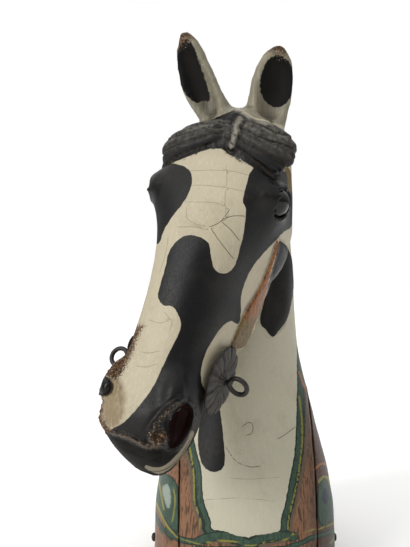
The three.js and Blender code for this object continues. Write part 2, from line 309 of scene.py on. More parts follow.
def spotGap(head, spot, side):
    # distance to a spot on one side of the head
    return np.linalg.norm(head * (side, 1, 1) - spot, axis=1)


def onHeadShare(head):
    # 1 on the skull and muzzle, 0 on the neck
    jaw = stationValue(jawEdge, head[:, 2])
    deep = np.clip((head[:, 1] - jaw + 6) / 10, 0, 1)
    along = np.clip((head[:, 2] + 6) / 10, 0, 1)
    return deep * along


def earShare(points):
    # how far up an ear each point is, or -1 off the ears
    found = np.full(len(points), -1.0)
    for base, tip, reach in earPlaces:
        base = np.array(base, dtype=float)
        way = np.array(tip, dtype=float) - base
        share = ((points - base) @ way) / (way @ way)
        gap = np.linalg.norm(points - base - share[:, None] * way, axis=1)
        here = (share > 0.16) & (gap < reach + 6)
        found[here] = share[here]
    return found


def lockPlace(head, lock):
    # share along a lock, place across it from -1 to 1, and height over its middle line
    start, end, halves = [np.array(part, dtype=float) for part in lock]
    share = (head[:, 0] - start[0]) / (end[0] - start[0])
    held = np.clip(share, 0, 1)
    half = np.interp(held, (0, 0.55, 1), halves)
    across = (head[:, 2] - start[2] - (end[2] - start[2]) * held) / half
    height = head[:, 1] - start[1] - (end[1] - start[1]) * held ** 2.2
    return share, across, height


def softWeight(points):
    head = toHead(points)
    weight = np.full(len(points), 1.0)
    weight[earShare(points) > 0.05] = 0.12
    # nostrils, mouth, eye sockets and the forelock keep their edges
    for side in (-1, 1):
        gap = spotGap(head, nostrilAt, side)
        weight = np.minimum(weight, np.clip((gap - 20) / 16, 0.12, 1))
        gap = spotGap(head, eyeAt, side)
        weight = np.minimum(weight, np.clip((gap - 18.5) / 5, 0.1, 1))
    mouth = (head[:, 2] > 372) & (np.abs(head[:, 1] + 97) < 9) & (onHeadShare(head) > 0.5)
    weight[mouth] = 0.08
    lock = (head[:, 2] > 22) & (head[:, 2] < 112) & (head[:, 1] > -34)
    weight[lock] = np.minimum(weight[lock], 0.2)
    weight[points[:, 2] < 4] = 0
    # the seams beside the boards stay crisp
    seam = (np.abs(np.abs(points[:, 0]) - 88) < 4) & (points[:, 2] < 250) & (head[:, 1] < -140)
    weight[seam] = 0.05
    return weight


print("carving the wood")
horse = remeshedCopy("horse_bust", "carved_horse", woodSet["voxel"])
points = pointsOf(horse)
relax(horse, softWeight(points), woodSet["relaxTimes"], onHeadShare(toHead(points)))


def facing(points, normals):
    # how squarely each point faces the camera, from -1 to 1
    return -(sightLines(points) * normals).sum(axis=1)


def refine(obj, wanted):
    # one cut across the chosen faces
    faces = obj.data.polygons
    chosen = wanted(vectorsOf(faces, "center") * 1000, vectorsOf(faces, "normal"))
    onlySelect(obj)
    bpy.ops.object.mode_set(mode="EDIT")
    bpy.ops.mesh.select_mode(type="FACE")
    bpy.ops.mesh.select_all(action="DESELECT")
    bpy.ops.object.mode_set(mode="OBJECT")
    faces = obj.data.polygons
    faces.foreach_set("select", chosen)
    bpy.ops.object.mode_set(mode="EDIT")
    bpy.ops.mesh.subdivide(number_cuts=1)
    bpy.ops.object.mode_set(mode="OBJECT")


def headFaces(points, normals):
    head = toHead(points)
    fine = facing(points, normals) > 0.06
    fine |= (head[:, 2] > 22) & (head[:, 2] < 108) & (head[:, 1] > -30)
    for side in (-1, 1):
        fine |= spotGap(head, eyeAt, side) < 28
    return ((onHeadShare(head) > 0.5) & fine) | (earShare(points) > 0)


def muzzleFaces(points, normals):
    head = toHead(points)
    seen = (onHeadShare(head) > 0.5) & (facing(points, normals) > 0)
    return seen & (head[:, 2] > woodSet["muzzleFrom"])


for wanted, weight, times in ((headFaces, 0.6, 6), (muzzleFaces, 0.5, 4)):
    refine(horse, wanted)
    relax(horse, softWeight(pointsOf(horse)) * weight, times)
print("points on the carved horse", len(horse.data.vertices))

# Carving on the head: strands, lids, nostrils, lips, strap
carveSet = {
    "foldDepth": 5.0,
    "folds": 3.2,
    "strapHeight": 2.6,
    "lipStep": 10,
    "nostrilDepth": 15,
    "farNostrilAt": (103.5, 386.5),
    "lockCrown": 2.8,
    "fineFoldDepth": 1.5,
    "lidHeight": 1.6,
    "lidRadius": 20.5,
    "knobHeight": 3.5,
    "knobRadius": 7.5,
    "lipGrooveDepth": 1.6,
    "noseGrooveDepth": 1.3,
    "jowlHeight": 2.6,
    "creaseDepth": 1.4,
    "toolMarks": 0.3,
}
lipRidge = smoothLine([
    (97, 424), (104, 430), (114, 433), (127, 437), (139, 443), (148, 447), (157, 446), (165, 440),
], closed=False)
nostrilWing = smoothLine([
    (178, 404), (170, 410), (161, 419), (153, 430), (150, 438), (158, 444),
], closed=False)
nostrilHole = [
    (181, 403), (188, 404), (193, 411), (192, 422), (187, 434), (179, 445), (171, 448), (168, 440),
    (170, 424), (174, 411),
]
cheekOutline = [
    (280, 241), (287, 247), (292, 258), (294, 270), (293, 294), (288, 317), (281, 328), (273, 337),
    (266, 330), (260, 322), (263, 305), (269, 281), (273, 265), (277, 248),
]
partingLine = smoothLine([(240, 119), (237, 125), (235, 134), (233, 141), (231, 146)], closed=False)
strapOutline = smoothLine([
    (277, 239), (271, 259), (263, 279), (254, 297), (246, 311), (240, 323), (234, 337), (230, 347),
    (238, 349), (245, 346), (252, 334), (258, 321), (263, 306), (267, 291), (272, 270), (278, 248),
])
wornOutline = smoothLine([
    (143, 326), (138, 336), (132.5, 352), (126, 364), (121, 374), (115, 380), (109, 377), (101, 374),
    (94, 378), (92, 370), (106, 357), (118, 344), (130, 328),
])
wornRim = smoothLine([(100, 399), (99, 412), (101, 422), (107, 431)], closed=False)
noseGroove = smoothLine([(121, 388), (122, 398), (123, 408), (121, 418)], closed=False)
lipGrooves = [smoothLine(line, closed=False) for line in (
    [(148, 466), (157, 468), (168, 463), (178, 453), (186, 442), (191, 431)],
    [(145, 470), (154, 474), (163, 475), (173, 469), (184, 458), (192, 446), (197, 432)],
)]


def lockFan(share, across, lock):
    # the folds spread from the parting, wander a little and curl over at the ends
    fan = across / (0.55 + 0.45 * np.clip(share, 0, 1) ** 0.7)
    fan = fan + 0.1 * np.sin(share * 4 + lock[1][0]) + 0.05 * np.sin(share * 9 + across * 3)
    return fan + 0.5 * np.clip(share - 0.75, 0, 1)


def unevenness(points, size, seed):
    # a cheap, repeatable unevenness from -1 to 1
    p = points / size
    a = np.sin(p[:, 0] * 1.7 + 1.3 * np.sin(p[:, 1] * 1.1 + seed) + seed)
    b = np.sin(p[:, 1] * 2.1 + 1.7 * np.sin(p[:, 2] * 1.3 + seed * 2) + 2.0)
    c = np.sin(p[:, 2] * 1.9 + 1.5 * np.sin(p[:, 0] * 1.2 - seed) + 4.0)
    return (a + b + c) / 3


points = pointsOf(horse)
normals = normalsOf(horse)
head = toHead(points)
picture = toPicture(points)
front = facing(points, normals)
onHead = onHeadShare(head)
lift = np.zeros(len(points))

for lock in lockPlaces:
    share, across, height = lockPlace(head, lock)
    here = np.clip(share * 9, 0, 1) * np.clip((1.12 - share) * 9, 0, 1)
    here = here * (height > -6) * (np.abs(across) < 1.25)
    fan = lockFan(share, across, lock)
    fold = (1 - np.abs(np.sin(np.pi * fan * carveSet["folds"] / 2 + 0.5))) ** 3
    fine = (1 - np.abs(np.sin(np.pi * fan * carveSet["folds"] * 1.35 + 1.1))) ** 3
    crown = 1 - np.clip(np.abs(across), 0, 1) ** 2
    folds = carveSet["foldDepth"] * fold + carveSet["fineFoldDepth"] * fine
    lift += here * (carveSet["lockCrown"] * crown - folds)

gap = lineGap(picture, partingLine)
parting = bump(gap, 3.4) * (front > 0) * (head[:, 2] < 110) * (onHead > 0)
lift += parting * (1.2 + 2.2 * unevenness(points, 1.3, 2.0))
lift -= 3.0 * bump(gap - 5.5, 1.6) * (front > 0) * (head[:, 2] < 110)

for side in (-1, 1):
    away = spotGap(head, eyeAt, side)
    lid = bump(away - carveSet["lidRadius"], 1.8) * (head[:, 0] * side > 30)
    lift += carveSet["lidHeight"] * lid

muzzle = (onHead > 0.3) * (head[:, 2] > 300) * np.clip(front * 4 + 0.6, 0, 1)
ragged = unevenness(points, 1.9, 1.0)
away = sightLines(points)
push = np.zeros(len(points))  # how far the chisel drives each point back from the viewer

# the front of the lips is set back under a ragged ridge
nearRidge = lineGap(picture, lipRidge)
below = picture[:, 1] - np.interp(picture[:, 0], lipRidge[:, 0], lipRidge[:, 1])
fading = np.clip(below / 2.2, 0, 1) * np.clip(1 - (below - 12) / 20, 0, 1)
fading *= np.clip((174 - picture[:, 0]) / 12, 0, 1)
push += muzzle * carveSet["lipStep"] * fading
push -= muzzle * bump(nearRidge, 2.8) * (3.6 + 3.0 * ragged)
# nostril: a deep slanted hole with a rolled, flaking rim
nearWing = lineGap(picture, nostrilWing)
push -= muzzle * bump(nearWing, 3.4) * (4.2 + 3.2 * ragged)
push += muzzle * bump(nearWing - 6.5, 2.4) * 1.6
opening = insideDistance(picture, smoothLine(nostrilHole))
push += muzzle * carveSet["nostrilDepth"] * np.clip((opening + 0.5) / 6, 0, 1) ** 0.8
push -= muzzle * 1.8 * bump(opening + 3.2, 2.0) * (1 + 0.7 * ragged)
# the far nostril shows as a glossy knob in a ring
knob = np.linalg.norm(picture - carveSet["farNostrilAt"], axis=1)
push -= muzzle * carveSet["knobHeight"] * np.sqrt(np.clip(1 - (knob / carveSet["knobRadius"]) ** 2, 0, 1))
push += muzzle * 2.4 * bump(knob - 9, 1.5)
push -= muzzle * bump(knob - 12.5, 2.0) * (0.8 + 0.9 * ragged) * (picture[:, 0] > 100)
for line in lipGrooves:
    push += muzzle * carveSet["lipGrooveDepth"] * bump(lineGap(picture, line), 1.3)
push += muzzle * carveSet["noseGrooveDepth"] * bump(lineGap(picture, noseGroove), 2.2)

strap = insideDistance(picture, strapOutline)
lift += carveSet["strapHeight"] * np.clip(strap / 1.4 + 0.5, 0, 1) * (front > 0.05) * (onHead > 0.1)
lift += 0.5 * unevenness(points, 3, 6.0) * (strap > 0) * (front > 0.05) * (onHead > 0.1)
jowl = insideDistance(picture, smoothLine(cheekOutline))
crease = np.abs(picture[:, 0] - 271 + 0.06 * (picture[:, 1] - 290))
swell = carveSet["jowlHeight"] * np.clip(jowl / 7, 0, 1) ** 0.6
lift += (swell - carveSet["creaseDepth"] * bump(crease, 1.8)) * (front > 0) * (jowl > 0)

# chewed and worn wood on the nose's edge
wornHere = np.clip(insideDistance(picture, wornOutline) / 3 + 0.6, 0, 1)
lift += muzzle * wornHere * (1.1 * unevenness(points, 1.6, 3.0) - 0.3)
nearRim = lineGap(picture, wornRim)
lift += muzzle * bump(nearRim, 4) * (1.3 * unevenness(points, 1.5, 4.0) + 0.4)
# faint tool unevenness all over
lift += carveSet["toolMarks"] * unevenness(points, 14, 5.0) * (points[:, 2] > 3)

points += away * push[:, None]
movePoints(horse, points + normals * lift[:, None])
smoothFaces(horse)
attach(horse, "root")
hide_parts("horse_bust")

# Side boards: the same wood, glued on along straight seams
boardSet = {
    "voxel": 0.0032,
    "relaxTimes": 40,
    "seamAt": 88,
}


def boardPiece(node, name):
    board = remeshedCopy(node, name, boardSet["voxel"])
    points = pointsOf(board)
    weight = np.ones(len(points))
    weight[np.abs(points[:, 0]) < boardSet["seamAt"] + 2.5] = 0
    weight[points[:, 2] < 3] = 0
    relax(board, weight, boardSet["relaxTimes"])
    points = pointsOf(board)
    normals = normalsOf(board)
    free = (weight > 0)[:, None]
    movePoints(board, points + normals * 0.25 * unevenness(points, 14, 5.0)[:, None] * free)
    smoothFaces(board)
    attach(board, "root")
    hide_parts(node)
    return board


boards = [boardPiece("shoulder_board_left", "shoulder_board_seen"),
          boardPiece("shoulder_board_right", "shoulder_board_far")]

# Painted areas, as distances in millimetres from each hand-painted edge
pixelSize = 1.12  # millimetres across one pixel at the head
chestPixel = 1.35
paintSet = {
    "leftEye": [(140, 196), (142, 178), (152, 166), (166, 163), (180, 165), (189, 170), (192, 178),
                (190, 190), (183, 203), (173, 216), (164, 230), (158, 244), (146, 236), (141, 214)],
    "face": [(252, 170), (268, 168), (286, 172), (295, 190), (296, 210), (291, 227), (285, 231), (278, 238),
             (262, 255), (252, 268), (246, 280), (241, 297), (241, 313), (238, 324), (231, 321), (223, 326),
             (216, 335), (206, 352), (201, 370), (202, 384), (206, 392), (208, 405), (206, 424), (196, 448),
             (178, 476), (160, 484), (137, 474), (114, 458), (104, 443), (103, 434), (112, 429), (124, 422),
             (139, 406), (153, 387), (161, 370), (171, 349), (180, 330), (180, 319), (173, 307), (163, 305),
             (158, 296), (162, 279), (166, 265), (168, 254), (174, 244), (182, 237), (191, 235), (202, 238),
             (209, 244), (211, 256), (214, 268), (220, 273), (227, 273), (233, 268), (237, 260), (240, 248),
             (243, 237), (245, 222), (246, 209), (243, 202), (244, 194), (247, 183)],
    "cheek": cheekOutline,
    "farNostril": [(94, 384), (97, 377), (104, 375), (110, 380), (111, 388), (107, 395), (99, 396),
                   (94, 391)],
    "drip": [(197, 398), (199, 420), (198, 440), (200, 458), (205, 468), (213, 472), (221, 470), (225, 462),
             (224, 445), (222, 425), (219, 408), (211, 398)],
    "whiteChest": [(330, 250), (300, 330), (297, 345), (297, 380), (296, 426), (294, 456), (289, 482),
                   (285, 504), (281, 518), (280, 530), (275, 532), (266, 534), (258, 535), (252, 536),
                   (249, 538), (246, 537), (238, 536), (224, 531), (212, 529), (211, 521), (206, 508),
                   (203, 496), (202, 476), (200, 463), (196, 448), (192, 426), (190, 400), (186, 340),
                   (180, 250)],
    "leftLeaf": [(155, 480), (162, 474), (171, 476), (178, 486), (179, 500), (179, 520), (178, 534),
                 (170, 528), (163, 518), (156, 506)],
    "leftPale": [(162, 488), (167, 484), (170, 489), (171, 500), (169, 509), (165, 503)],
    "rightLeaf": [(325, 476), (331, 481), (335, 498), (334, 514), (328, 526), (320, 524), (317, 512),
                  (317, 494), (319, 482)],
    "rightNavy": [(324, 488), (328, 491), (329, 500), (325, 505), (322, 498)],
    "leftEar": [(165, 30), (176, 37), (190, 41), (199, 61), (210, 97), (204, 101), (194, 102), (184, 92),
                (174, 78), (165, 60)],
    "rightEar": [(276, 55), (284, 57), (291, 65), (294, 78), (293, 90), (288, 101), (281, 107), (272, 106),
                 (264, 99), (260, 88), (262, 72), (268, 60)],
    "teeth": [(145, 468), (152, 472), (160, 474), (170, 469), (180, 459), (188, 447), (194, 434),
              (191, 431), (186, 442), (178, 453), (168, 463), (160, 467), (152, 467), (146, 465)],
    "nostril": nostrilHole,
    "flakes": [(151, 433), (158, 428), (165, 430), (168, 437), (164, 444), (156, 447), (150, 441)],
    "dustyTop": [(234, 109), (246, 106), (262, 107), (272, 116), (276, 124), (266, 124), (252, 120),
                 (242, 114)],
    # painted shade: darker cream on the left of the nose as seen from the front
    "noseShade": [(109, 380), (118, 378), (124, 388), (124, 404), (121, 420), (112, 428), (103, 420),
                  (104, 396)],
    "lips": [(98, 428), (114, 435), (128, 440), (140, 446), (160, 448), (184, 448), (206, 420), (206, 440),
             (184, 466), (168, 482), (140, 480), (106, 458)],
    "eyeStrip": [(286, 166), (290, 170), (293, 182), (292, 193), (288, 189), (287, 176), (284, 169)],
}
# brush strokes on the mantle: half width in picture pixels, then the stroke's points
strokeSet = {
    "yellow": [
        (1.0, [(189, 446), (192, 460), (194, 480), (194, 498), (197, 510), (200, 520), (200, 530)]),
        (0.9, [(299, 396), (302, 420), (302, 444), (299, 470), (297, 482), (293, 500), (289, 516),
               (288, 530)]),
        (1.0, [(196, 544), (206, 543), (216, 541), (228, 541), (240, 543), (249, 546), (258, 544),
               (270, 542), (282, 541), (292, 536)]),
        (1.0, [(155, 500), (160, 512), (166, 524), (172, 532), (180, 539), (190, 542), (196, 544)]),
        (1.0, [(292, 534), (302, 532), (312, 530), (322, 528), (334, 523)]),
        (0.7, [(173, 488), (175, 498), (174, 512), (172, 522)]),
        (0.8, [(157, 474), (159, 482), (162, 500), (164, 510)]),
        (1.3, [(319, 482), (323, 477), (328, 478), (330, 484)]),
    ],
    "teal": [
        (4.6, [(200, 540), (212, 537), (224, 536), (236, 539), (246, 543)]),
        (4.6, [(253, 543), (262, 538), (274, 536), (286, 536), (294, 537)]),
        (3.2, [(168, 529), (176, 537), (186, 541), (198, 542)]),
        (2.6, [(196, 549), (230, 549), (262, 550), (290, 547), (312, 538), (334, 531)]),
        (2.2, [(297, 343), (303, 360), (309, 384), (316, 410), (322, 432), (328, 450)]),
        (1.6, [(152, 508), (162, 527), (172, 539)]),
    ],
    "orange": [
        (1.2, [(314, 470), (321, 464), (327, 465), (331, 470)]),
        (0.9, [(299, 372), (303, 383), (307, 392)]),
    ],
    "pale": [
        (0.9, [(276, 256), (270, 280), (266, 296), (262, 310), (256, 324), (249, 342)]),
    ],
}
bandHeights = [(-127, 74), (-100, 62), (-60, 56), (0, 58), (60, 55), (100, 55), (127, 43)]
crackSet = [
    # each crack's points, on the picture
    [(226, 447), (231, 455), (236, 461), (243, 465), (252, 467), (260, 466)],
    [(278, 439), (286, 434), (295, 427)],
    [(243, 426), (249, 422), (253, 426), (252, 433), (247, 435)],
    [(210, 227), (220, 222), (229, 211)],
    [(224, 219), (233, 216), (244, 216)],
    [(210, 227), (216, 236), (225, 248), (233, 258)],
    [(222, 222), (231, 230), (239, 240)],
    [(218, 117), (228, 114), (238, 111)],
    [(150, 471), (160, 471), (171, 466), (181, 456), (190, 440)],
]
hairSet = [
    # hairlines in the paint, fainter
    [(226, 165), (227, 182), (225, 198), (226, 215)],
    [(186, 186), (200, 185), (222, 187), (243, 191)],
    [(189, 171), (210, 170), (232, 171), (248, 175)],
    [(186, 202), (200, 202), (216, 203), (229, 209)],
    [(168, 238), (166, 252), (160, 272)],
    [(150, 320), (160, 323), (171, 319)],
    [(178, 227), (194, 227), (208, 230)],
    [(142, 352), (150, 353), (158, 351)],
    [(137, 366), (147, 367), (156, 364)],
    [(187, 208), (187, 218), (196, 224), (206, 226)],
    [(165, 313), (172, 322), (170, 330)],
    [(181, 478), (176, 468), (173, 462)],
    [(205, 500), (240, 498), (275, 501)],
    [(230, 478), (252, 479), (280, 477)],
]


hollowRounds = 8  # how far the surface is evened out to find its hollows


def paintEdge(name, at, pixel=pixelSize):
    return insideDistance(at, smoothLine(paintSet[name])) * pixel


def signedLine(at, line):
    # distance to an open line and the same with its side, so that a thin crack stays thin between points
    gap, along = lineDistance(at, line)
    place = np.interp(along, (0, 1), (0, len(line) - 1))
    first = np.clip(place.astype(int), 0, len(line) - 2)
    way = line[first + 1] - line[first]
    off = at - line[first]
    side = np.sign(way[:, 0] * off[:, 1] - way[:, 1] * off[:, 0])
    return gap, gap * side


def paintDistances(obj):
    points = pointsOf(obj)
    normals = normalsOf(obj)
    head = toHead(points)
    picture = toPicture(points)
    front = facing(points, normals)
    onHead = onHeadShare(head)
    turned = (front + 0.35) * 60  # ends a patch just round the edge of the view
    isHead = onHead > 0.5
    ears = earShare(points)
    found = {}

    def patch(name):
        return np.minimum(paintEdge(name, picture), turned)

    def onlyHead(values):
        return np.where(isHead, values, farOut)

    black = np.full(len(points), farOut)
    for name in ("leftEye", "face", "farNostril"):
        black = np.maximum(black, onlyHead(patch(name)))
    black = np.maximum(black, patch("cheek"))
    black = np.maximum(black, np.where(isHead, farOut, patch("drip")))
    # the far cheek carries the near one's patches
    mirror = toPicture(fromHead(head * (-1, 1, 1)))
    mirrorFront = facing(fromHead(head * (-1, 1, 1)), (normals @ headAxes * (-1, 1, 1)) @ headAxes.T)
    other = onlyHead(paintEdge("face", mirror))
    other = np.minimum(np.maximum(other, paintEdge("cheek", mirror)), (mirrorFront + 0.1) * 60)
    black = np.maximum(black, np.where((head[:, 0] < 0) & (front < 0.05) & (head[:, 2] < 340), other, farOut))
    # lips and chin are black all round
    lips = np.minimum(head[:, 2] - 398 - 0.35 * (head[:, 1] + 60), 30)
    black = np.maximum(black, np.where(isHead & (front < 0.15), lips, farOut))
    for side in (-1, 1):
        gap = spotGap(head, domeAt, side)
        black = np.maximum(black, np.where(isHead & (front < 0.3), 34 - gap, farOut))
    for lock in lockPlaces:
        share, across, height = lockPlace(head, lock)
        inside = np.minimum(np.minimum(share + 0.12, 1.16 - share) * 60, (1.18 - np.abs(across)) * 18)
        black = np.maximum(black, np.minimum(inside, height + 9))
    crown = np.minimum(27 - np.hypot(head[:, 0] * 0.8, head[:, 2] - 42), head[:, 1] + 26)
    black = np.where(ears > 0, farOut, np.maximum(black, crown))
    inEar = np.full(len(points), farOut)
    for name in ("leftEar", "rightEar"):
        inEar = np.maximum(inEar, np.where((ears > 0) & (front > -0.1), paintEdge(name, picture), farOut))
    found["blackPaint"] = black
    found["earPaint"] = inEar
    nearParting = lineGap(picture, partingLine)
    dusty = np.maximum(paintEdge("dustyTop", picture), 2.4 - nearParting * pixelSize)
    found["dustPaint"] = np.where((front > 0) & (head[:, 2] < 110), dusty, farOut)
    found["neckTone"] = np.where(isHead | (ears > 0), farOut, 10)
    found["earTone"] = np.maximum(ears * 100, 14 - np.hypot(head[:, 0], head[:, 2] + 2)) - 4
    # painted shade on the left of the nose as seen from the front
    found["noseShadeTone"] = onlyHead(patch("noseShade"))
    # painted shade: the salmon darkens toward +x, the side turned away from the key light
    found["shadeSideTone"] = points[:, 0] - 78

    low = 300 - points[:, 2]
    mantle = np.where(front > 0.02, -paintEdge("whiteChest", picture, chestPixel), low)
    mantle = np.minimum(mantle, low + 6)
    found["mantlePaint"] = np.where(isHead | (ears > 0), farOut, mantle)
    offBand = np.abs(points[:, 2] - stationValue(bandHeights, points[:, 0]))
    found["bandPaint"] = np.where((front > 0.05) & (np.abs(points[:, 0]) < 110), farOut, 7.0 - offBand)
    found["bandLine"] = found["bandPaint"] - 5.2
    seen = (front > 0) & ~isHead
    leafParts = {"leaf": ("leftLeaf", "rightLeaf"), "pale": ("leftPale",), "navy": ("rightNavy",)}
    for name, outlines in leafParts.items():
        edges = [paintEdge(outline, picture, chestPixel) for outline in outlines]
        found[name + "Paint"] = np.where(seen, np.max(edges, axis=0), farOut)
    for name, strokes in strokeSet.items():
        stroke = np.full(len(points), farOut)
        for half, line in strokes:
            stroke = np.maximum(stroke, half - lineGap(picture, smoothLine(line, closed=False)))
        where = seen if name != "pale" else (front > 0) & (onHead > 0.05)
        found[name + "Stroke"] = np.where(where, stroke * chestPixel, farOut)
    strap = np.minimum(insideDistance(picture, strapOutline) * pixelSize, turned)
    found["strapPaint"] = np.where(onHead > 0.1, strap, farOut)
    found["strapLow"] = picture[:, 1]
    found["stripPaint"] = onlyHead(patch("eyeStrip"))

    nostril = np.full(len(points), farOut)
    for side in (-1, 1):
        gap = head * (side, 1, 1) - nostrilAt
        nostril = np.maximum(nostril, 12 - np.hypot(gap[:, 2] / 1.45, np.hypot(gap[:, 0], gap[:, 1])))
    red = np.where(front > 0, paintEdge("nostril", picture), nostril)
    found["redPaint"] = onlyHead(red)
    teeth = np.where(front > 0, paintEdge("teeth", picture), 3 - np.abs(head[:, 1] + 97))
    found["teethPaint"] = np.where(isHead & (head[:, 2] > 360), teeth, farOut)

    # bare, worn wood along the nose's edge, the lip ridge, the parting and the ear tips
    worn = np.full(len(points), farOut)
    for reach, line in ((4.5, wornRim), (1.6, lipRidge), (1.0, nostrilWing)):
        worn = np.maximum(worn, (reach - lineGap(picture, line)) * pixelSize)
    worn = np.maximum(worn, insideDistance(picture, wornOutline) * pixelSize + 1.5)
    worn = np.maximum(worn, paintEdge("flakes", picture) - 1)
    worn = np.where(isHead & (front > 0), worn, farOut)
    found["wornWood"] = np.maximum(worn, (ears - 0.88) * 60)

    for name, lines in (("crack", crackSet), ("hair", hairSet)):
        gapNow = np.full(len(points), -farOut)
        sideNow = np.full(len(points), -farOut)
        for line in lines:
            gap, side = signedLine(picture, smoothLine(line, closed=False))
            nearer = gap < gapNow
            gapNow[nearer] = gap[nearer]
            sideNow[nearer] = side[nearer]
        found[name + "Gap"] = np.where(front > 0.1, gapNow * pixelSize, -farOut)
        found[name + "Side"] = sideNow * pixelSize

    # dust and painted highlight along the raised strands
    dustAndHighlightShare = np.zeros(len(points))
    for lock in lockPlaces:
        share, across, height = lockPlace(head, lock)
        here = np.clip(share * 6 + 0.5, 0, 1) * np.clip((1.15 - share) * 6, 0, 1)
        here = here * (height > -4) * (np.abs(across) < 1.2)
        fan = lockFan(share, across, lock)
        strands = np.abs(np.sin(np.pi * fan * 3.1 + 1.5 * np.sin(share * 4))) ** 8
        upper = np.clip(0.75 - across, 0, 1)  # the dust and painted highlight lie on the upper half of each lock
        dustAndHighlightShare = np.maximum(dustAndHighlightShare, here * upper * (0.35 + 0.65 * strands))
    # the rubbed attribute carries this dust with its painted highlight
    found["rubbed"] = np.where(ears > 0, 0, dustAndHighlightShare)
    shine = np.zeros(len(points))
    for side in (-1, 1):
        shine = np.maximum(shine, bump(spotGap(head, domeAt, side), 34))
    knob = np.linalg.norm(picture - carveSet["farNostrilAt"], axis=1)
    found["shine"] = np.where(isHead, np.maximum(shine, bump(knob, 9) * (front > 0)), 0)
    found["matt"] = np.where(isHead & (front > -0.1), np.clip(paintEdge("lips", picture) / 5 + 0.5, 0, 1), 0)

    # hollows and edges, for grime and painted shade in the hollows
    mean = neighbourMean(obj)
    soft = points
    for _ in range(hollowRounds):
        soft = mean(soft)
    found["hollow"] = np.clip(((soft - points) * normals).sum(axis=1), -2, 2)
    return found


print("painting")
paintNames = []
for piece in [horse] + boards:
    found = paintDistances(piece)
    paintNames = list(found)
    for name, values in found.items():
        setAttribute(piece, name, values)

# Painted wood: old oil paint over carved basswood, satin, crazed and rubbed through to brown wood
paintColours = {
    "cream": "A49B85",
    "creamStain": "85795F",
    "creamPale": "BDB5A2",
    "neckCream": "AAA592",
    "earCream": "757060",
    # painted shade on the nose's left side
    "noseShade": "7A6A50",
    "black": "070708",
    "blackWarm": "1C1A17",
    "earBlack": "050505",
    # dust with painted highlight on the forelock's strands
    "blackDustAndHighlight": "68645A",
    "dusty": "7C776B",
    "salmon": "77543C",
    "salmonDark": "462F23",
    "salmonWorn": "7C6B50",
    "sideSoot": "32261A",
    "teal": "304537",
    "tealDark": "17231C",
    "tealPale": "4C6252",
    "yellow": "78722F",
    "mauve": "56483B",
    "leafPale": "7C867B",
    "navy": "141A30",
    "orange": "8A552C",
    "strap": "84522C",
    "strapDark": "4A2E1A",
    "strapLow": "5F4E29",
    "strapEdge": "AE9A78",
    "red": "240506",
    "teeth": "777060",
    "bareWood": "543A26",
    "bareDark": "1C120B",
    "bareLight": "A08E74",
    # dark in the cracks and crazing, and grime with painted shade in the hollows
    "dirtAndShade": "1F1A13",
}
# painted areas: name, its distance attribute, where in millimetres it starts and is full, its edge's wander
areaSet = [
    ("neck", "neckTone", -1, 1, 0.5),
    ("ear", "earTone", -6, 6, 3.0),
    ("nose", "noseShadeTone", -5, 5, 3.0),
    # shadeSide is painted shade on the side away from the key light
    ("shadeSide", "shadeSideTone", -10, 14, 5.0),
    ("mantle", "mantlePaint", -0.3, 0.3, 1.0),
    ("outlined", "mantlePaint", 1.4, 2.4, 1.0),
    ("innerGreen", "mantlePaint", 7.4, 8.6, 1.4),
    ("mauve", "mantlePaint", 11.5, 13.5, 1.8),
    ("salmon", "mantlePaint", 15.0, 18.5, 2.2),
    ("band", "bandPaint", -0.6, 0.6, 1.6),
    ("bandLine", "bandLine", -0.4, 0.4, 1.0),
    ("tealStroke", "tealStroke", -0.6, 0.2, 1.4),
    ("tealStrokeIn", "tealStroke", 0.8, 1.6, 1.0),
    ("leafEdge", "leafPaint", -0.6, 0.4, 1.4),
    ("leaf", "leafPaint", 1.6, 2.6, 1.2),
    ("pale", "palePaint", -1.0, 1.6, 1.6),
    ("navy", "navyPaint", -1.0, 2.0, 2.0),
    ("orange", "orangeStroke", -0.5, 0.6, 1.0),
    ("yellow", "yellowStroke", -0.5, 0.5, 0.8),
    ("black", "blackPaint", -0.25, 0.25, 0.7),
    ("inEar", "earPaint", -0.5, 0.6, 2.0),
    ("dustTop", "dustPaint", -2.5, 2.5, 3.0),
    ("strapLow", "strapLow", 312, 326, 6.0),
    ("strap", "strapPaint", -0.2, 0.3, 0.5),
    ("strapEdge", "paleStroke", -0.2, 0.6, 1.6),
    ("strip", "stripPaint", -0.2, 0.3, 0.5),
    ("red", "redPaint", 0.0, 3.0, 0.7),
    ("teeth", "teethPaint", -0.2, 0.4, 0.6),
]
# mottling: name, the unevenness it follows, where it starts and is full, how strong it gets
mottleSet = [
    ("stains", "clouds", 0.54, 0.8, 0.45),
    ("brushed", "streaks", 0.5, 0.85, 0.4),
    ("specks", "grit", 0.6, 0.78, 0.25),
    ("tealStreaks", "streaks", 0.46, 0.66, 0.7),
    ("tealClouds", "clouds", 0.5, 0.7, 0.5),
    ("tealSpecks", "grit", 0.5, 0.72, 0.45),
    ("salmonStreaks", "streaks", 0.48, 0.72, 0.75),
    ("salmonClouds", "clouds", 0.5, 0.7, 0.5),
    ("salmonRubbed", "wobble", 0.56, 0.75, 0.45),
    ("yellowWear", "wobble", 0.52, 0.75, 0.6),
    ("blackClouds", "clouds", 0.4, 0.65, 0.8),
    ("blackSpecks", "grit", 0.56, 0.74, 0.35),
    ("dustAndHighlightNoise", "wobble", 0.3, 0.62, 1.0),
    ("strapStreaks", "streaks", 0.46, 0.62, 0.9),
    ("strapSpecks", "grit", 0.55, 0.7, 0.5),
    ("woodDark", "wobble", 0.42, 0.58, 0.85),
    ("woodLight", "grit", 0.54, 0.66, 0.9),
    ("craze", "clouds", 0.36, 0.6, 1.0),
    ("sootStreaks", "streaks", 0.5, 0.6, 0.7),
]
